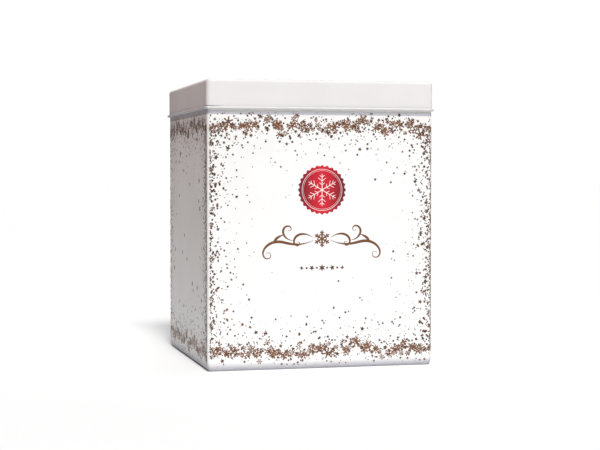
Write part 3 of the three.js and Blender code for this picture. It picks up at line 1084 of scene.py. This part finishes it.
def film_bag():
    """Outer and inner film. Pleats run up the dome from its shoulder, deepest close to the neck
    and again at the mouth, where the edge rises and falls with them."""
    angle = round_stations(PLEATS * 12)
    outside, inside = bag_section(0.0), bag_section(FILM)
    profile = np.vstack([outside, inside[::-1]])
    radius, height = profile[:, :1], profile[:, 1:]
    gather = np.clip((height - SHOULDER) / (NECK - SHOULDER), 0, 1) ** 2
    mouth = np.clip((height - NECK - 0.002) / 0.020, 0, 1)
    wander = 0.35 * np.sin(3 * angle + 40 * height) + 0.2 * np.sin(7 * angle)
    fold = np.cos(PLEATS * angle + wander * 2)
    depth = np.where(height > NECK - 0.004, NECK_FOLD + MOUTH_FOLD * mouth, DOME_FOLD * gather)
    off_floor = np.clip((height - bag_low[2]) / 0.02, 0, 1)
    ripple = RIPPLE * np.abs(np.sin(9 * angle + 90 * height)) * off_floor
    bunched = radius - depth * (1 - fold) * 0.5 - ripple
    edge = height - MOUTH_WAVE * mouth * (1 - fold)
    points = spun(bunched, edge, angle)
    return points, ring_faces(*points.shape[:2])


def clear_film():
    """Crisp clear film, almost all see-through, a little hazier along its upright creases."""
    material, place = new_finish("clear_film")
    drawn_out = place.add("ShaderNodeMapping", {}, {"Vector": place, "Scale": (90.0, 90.0, 14.0)})
    crease = drawn_out.noise(1.0, 2.0).ease(0.50, 0.72)
    return finished(material, {
        "Base Color": crease.mix(rgb(244, 248, 250), rgb(252, 253, 254)),
        "Roughness": 0.05 + 0.08 * crease,
        "Alpha": 0.045 + 0.05 * crease,
        "Normal": place.bump(crease, 0.0001, 0.4),
    })


new_piece("film", *film_bag(), clear_film(), "clear_film", ["film_bag"])

# ---- Bag tie ----
# A strip of gold foil over paper with a wire down its middle, wound once round the bag's neck
# and pinched, so that its two tails lie side by side with their tips bent apart.

tie_low, tie_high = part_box("bag_tie")
TIE_RING = 0.0051
TIE_HALF_WIDTH = 0.002
TIE_HALF_THICKNESS = 0.00028
TAIL_GAP = 0.00045
TIP_LENGTH = 0.006
TIP_SPREAD = 0.0012


def tie_strip():
    """The strip's section, flat with a bell-shaped rise over the wire in its middle, carried along
    a tail, round the ring and back along the other tail. Both tips bend away from each other."""
    opening = math.asin(TAIL_GAP / TIE_RING)
    ring_angle = np.linspace(opening, math.tau - opening, 61)
    ring = np.column_stack([TIE_RING * np.cos(ring_angle), TIE_RING * np.sin(ring_angle)])
    reach = np.linspace(tie_high[0], TIE_RING + 0.0008, 24)[:, None]
    bent = np.clip((reach - tie_high[0] + TIP_LENGTH) / TIP_LENGTH, 0, 1) ** 2
    tail = np.hstack([reach - 0.0004 * bent, TAIL_GAP + TIP_SPREAD * bent])
    path = np.vstack([tail, ring, tail[::-1] * [1, -1]])
    beside = left_of(unit(np.gradient(path, axis=0)))
    turn = np.linspace(0, math.tau, 28, endpoint=False)
    across = -np.cos(turn)
    thick = np.sign(np.sin(turn)) * (0.4 * (1 - across**8) + 0.6 * np.exp(-((across / 0.2) ** 2)))
    offset = beside[:, None] * thick[None, :, None] * TIE_HALF_THICKNESS
    middle = (tie_low[2] + tie_high[2]) / 2
    height = np.broadcast_to(middle + across * TIE_HALF_WIDTH, offset.shape[:2])
    points = np.dstack([path[:, None] + offset, height[:, :, None]])
    return points, ring_faces(*points.shape[:2])


def gold_foil():
    """Embossed gold foil with a fine crosswise crinkle."""
    material, place = new_finish("gold_foil")
    crinkle = place.noise(1600.0, 3.0)
    return finished(material, {
        "Base Color": crinkle.mix(rgb(214, 166, 74), rgb(178, 128, 48)),
        "Roughness": 0.22 + 0.18 * crinkle,
        "Normal": place.bump(crinkle, 0.00006, 0.6),
        "Metallic": 0.9,
    })


new_piece("twist_tie", *tie_strip(), gold_foil(), "gold_tie", ["bag_tie"])

# ---- Tin lid ----
# A drawn cap in a warmer white lacquer. Its top edge is softly rounded round a slightly sunken
# panel, and the skirt ends in an outward curl that stands proud of the body all round.

lid_low, lid_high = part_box("tin_lid")
LID_TOP = lid_high[2]
LID_CURL = 0.0010
SKIRT_INSET = 0.0027
LID_EDGE = 0.0025
LID_BORDER = 0.009
LID_STEP = 0.0008
LID_SLOPE = 0.0022
LID_MIDDLE = 0.03


def lid_profile():
    """The cap's section: out under the ceiling, down inside the skirt, round the curl and back
    inside it, up the skirt, over the rounded edge and in to the sunken panel."""
    outside = lid_high[0] - SKIRT_INSET
    curl = (outside - SHEET + LID_CURL, lid_low[2] + LID_CURL)
    edge = (outside - LID_EDGE, LID_TOP - LID_EDGE)
    inner_edge = LID_EDGE - SHEET
    step_out = outside - LID_BORDER
    step_in = step_out - LID_SLOPE
    blend = np.linspace(0, 1, 7)
    fall = LID_STEP * (3 * blend**2 - 2 * blend**3)
    drop = np.column_stack([step_out + (step_in - step_out) * blend, LID_TOP - fall])
    skirt = np.linspace(edge[1] - 0.0004, curl[1] + 0.0004, 9)
    return np.vstack([
        [[LID_MIDDLE, LID_TOP - LID_STEP - SHEET]],
        drop[::-1] - [0, SHEET],
        arc(edge, (inner_edge, inner_edge), 90, 0, 10),
        np.column_stack([np.full(9, outside - SHEET), skirt]),
        arc(curl, (LID_CURL, LID_CURL), 180, 460, 40),
        arc(curl, (LID_CURL - SHEET, LID_CURL - SHEET), 460, 180, 28),
        np.column_stack([np.full(9, outside), skirt[::-1]]),
        arc(edge, (LID_EDGE, LID_EDGE), 0, 90, 14),
        [[step_out + 0.001, LID_TOP]],
        drop,
        [[step_in - 0.002, LID_TOP - LID_STEP], [LID_MIDDLE, LID_TOP - LID_STEP]],
    ])


def lid_painted_shade(place):
    """Painted shade on the curl's lower lip and in the groove over the curl, both most along the
    left side and just round the corner from there."""
    height = place.axis(2) - lid_low[2]
    # Painted shade on the lower half of the curl, which faces down.
    lip = height.ease(2.0 * LID_CURL, 1.4 * LID_CURL)
    # Painted shade in the crease between the skirt and the curl.
    groove = height.ease(1.7 * LID_CURL, 2.0 * LID_CURL) * height.ease(3.0 * LID_CURL, 2.5 * LID_CURL)
    left_side = (0 - place.axis(0)).ease(lid_high[0] - 0.0034, lid_high[0] - 0.0030)
    # The crease's painted shade is strongest at the front-left corner.
    corner_crease_shade = (0 - place.axis(0) - place.axis(1)).ease(0.162, 0.175)
    return lip * (0.14 + 0.5 * left_side) + groove * (0.08 + 0.92 * corner_crease_shade)


lid_lacquer = white_lacquer(
    "lid_lacquer", rgb(223, 221, 220), rgb(218, 216, 215), rgb(150, 150, 157), lid_painted_shade,
)
lid_stations = np.concatenate([AFTER_CORNER, np.linspace(-0.9, 0.9, 20), BEFORE_CORNER])
tin_cap = pressed(lid_profile(), lid_stations, CORNER_STEPS)
new_piece("tin_cap", *tin_cap, lid_lacquer, "lid_lacquer", ["tin_lid"])

# ---- Studio ----
# Pale paper whose colour is painted darker to a warm grey to the tin's left and far in front, as
# painted shade for floor outside the light, in a dim room with a bright screen behind. One soft
# lamp stands above the camera, one over the tin, and a small warm one at its left.

FLOOR_REACH = 20.0
PALE = (0.90, 0.90, 0.90, 1)
DIM = (0.26, 0.226, 0.221, 1)
LEFT_FADE = (-0.262, -0.44)
FRONT_FADE = (-1.3, -4.0)
floor_mesh = bpy.data.meshes.new("floor")
floor_corners = np.array([[-1, -1, 0], [1, -1, 0], [1, 1, 0], [-1, 1, 0]]) * FLOOR_REACH
floor_mesh.from_pydata(floor_corners.tolist(), [], [(0, 1, 2, 3)])
pale_paper, floor_place = new_finish("pale_paper")
# Painted shade: the floor's colour greys where it stands for floor outside the light.
unlit_left = floor_place.axis(0).ease(*LEFT_FADE)
unlit_front = floor_place.axis(1).ease(*FRONT_FADE)
floor_mesh.materials.append(finished(pale_paper, {
    "Base Color": (unlit_left + (1 - unlit_left) * unlit_front).mix(PALE, DIM),
    "Roughness": 0.9,
    "Specular IOR Level": 0.1,
}))
floor = new_object("floor", floor_mesh)

ROOM_GLOW = 0.03
HORIZON_GLOW = 0.09
SCREEN_GLOW = 1.00
SCREEN_TOWARDS = (0.465, 0.874, 0.139)
SCREEN_EDGE = (0.70, 0.90)
HORIZON_BAND = 0.40
WARM = (1.0, 0.88, 0.86, 1)
WHITE = (1.0, 1.0, 1.0, 1)
world = bpy.data.worlds.new("room")
world.use_nodes = True
bpy.context.scene.world = world
sky = Wire(world.node_tree.nodes.new("ShaderNodeTexCoord").outputs["Generated"])
dot = {"operation": "DOT_PRODUCT"}
towards = sky.add("ShaderNodeVectorMath", dot, {0: sky, 1: SCREEN_TOWARDS}, output=1)
on_screen = towards.ease(*SCREEN_EDGE)
near_horizon = abs(sky.axis(2)).ease(HORIZON_BAND, 0.0)
feed(world.node_tree.nodes["Background"].inputs, {
    "Color": on_screen.mix(WARM, WHITE),
    "Strength": ROOM_GLOW + HORIZON_GLOW * near_horizon * (1 - on_screen) + SCREEN_GLOW * on_screen,
})


def soft_sun(name, azimuth, elevation, strength, softness):
    """A soft lamp that shines on the tin from an azimuth, measured from the front towards the
    right, and an elevation, all in degrees."""
    lamp = bpy.data.lights.new(name, "SUN")
    lamp.energy = strength
    lamp.angle = math.radians(softness)
    holder = new_object(name, lamp)
    holder.rotation_euler = (math.radians(90 - elevation), 0, math.radians(azimuth))


soft_sun("key_lamp", azimuth=-5, elevation=47, strength=3.15, softness=14)
soft_sun("top_lamp", azimuth=20, elevation=84, strength=0.9, softness=40)

SIDE_PLACE = (-0.36, -0.02, 0.34)
SIDE_TILT = math.radians(68)
side_lamp = bpy.data.lights.new("side_lamp", "SPOT")
side_lamp.energy = 0.45
side_lamp.color = (1.0, 0.58, 0.53)
side_lamp.spot_size = math.radians(58)
side_lamp.spot_blend = 1.0
side_lamp.shadow_soft_size = 0.05
side_holder = new_object("side_lamp", side_lamp)
side_holder.location = SIDE_PLACE
side_holder.rotation_euler = (0, -SIDE_TILT, 0)

# ---- Camera ----
# A long lens a little to the left of the front and a little above the middle of the tin, so that
# the front, the left side and the edge of the lid are seen, and the top of the lid isn't.

VIEW_AZIMUTH = math.radians(-14.2)
VIEW_ELEVATION = math.radians(2.0)
VIEW_DISTANCE = 1.190
VIEW_CENTRE = (0.0051, 0.0, 0.1059)
LENS = 87.4
camera = bpy.data.cameras.new("camera")
camera.lens = LENS
camera.sensor_width = 36
camera.clip_start = 0.01
camera_holder = new_object("camera", camera)
level_distance = VIEW_DISTANCE * math.cos(VIEW_ELEVATION)
camera_holder.location = (
    VIEW_CENTRE[0] + level_distance * math.sin(VIEW_AZIMUTH),
    VIEW_CENTRE[1] - level_distance * math.cos(VIEW_AZIMUTH),
    VIEW_CENTRE[2] + VIEW_DISTANCE * math.sin(VIEW_ELEVATION),
)
camera_holder.rotation_euler = (math.pi / 2 - VIEW_ELEVATION, 0, VIEW_AZIMUTH)
bpy.context.scene.camera = camera_holder
bpy.context.scene.view_settings.view_transform = "Standard"
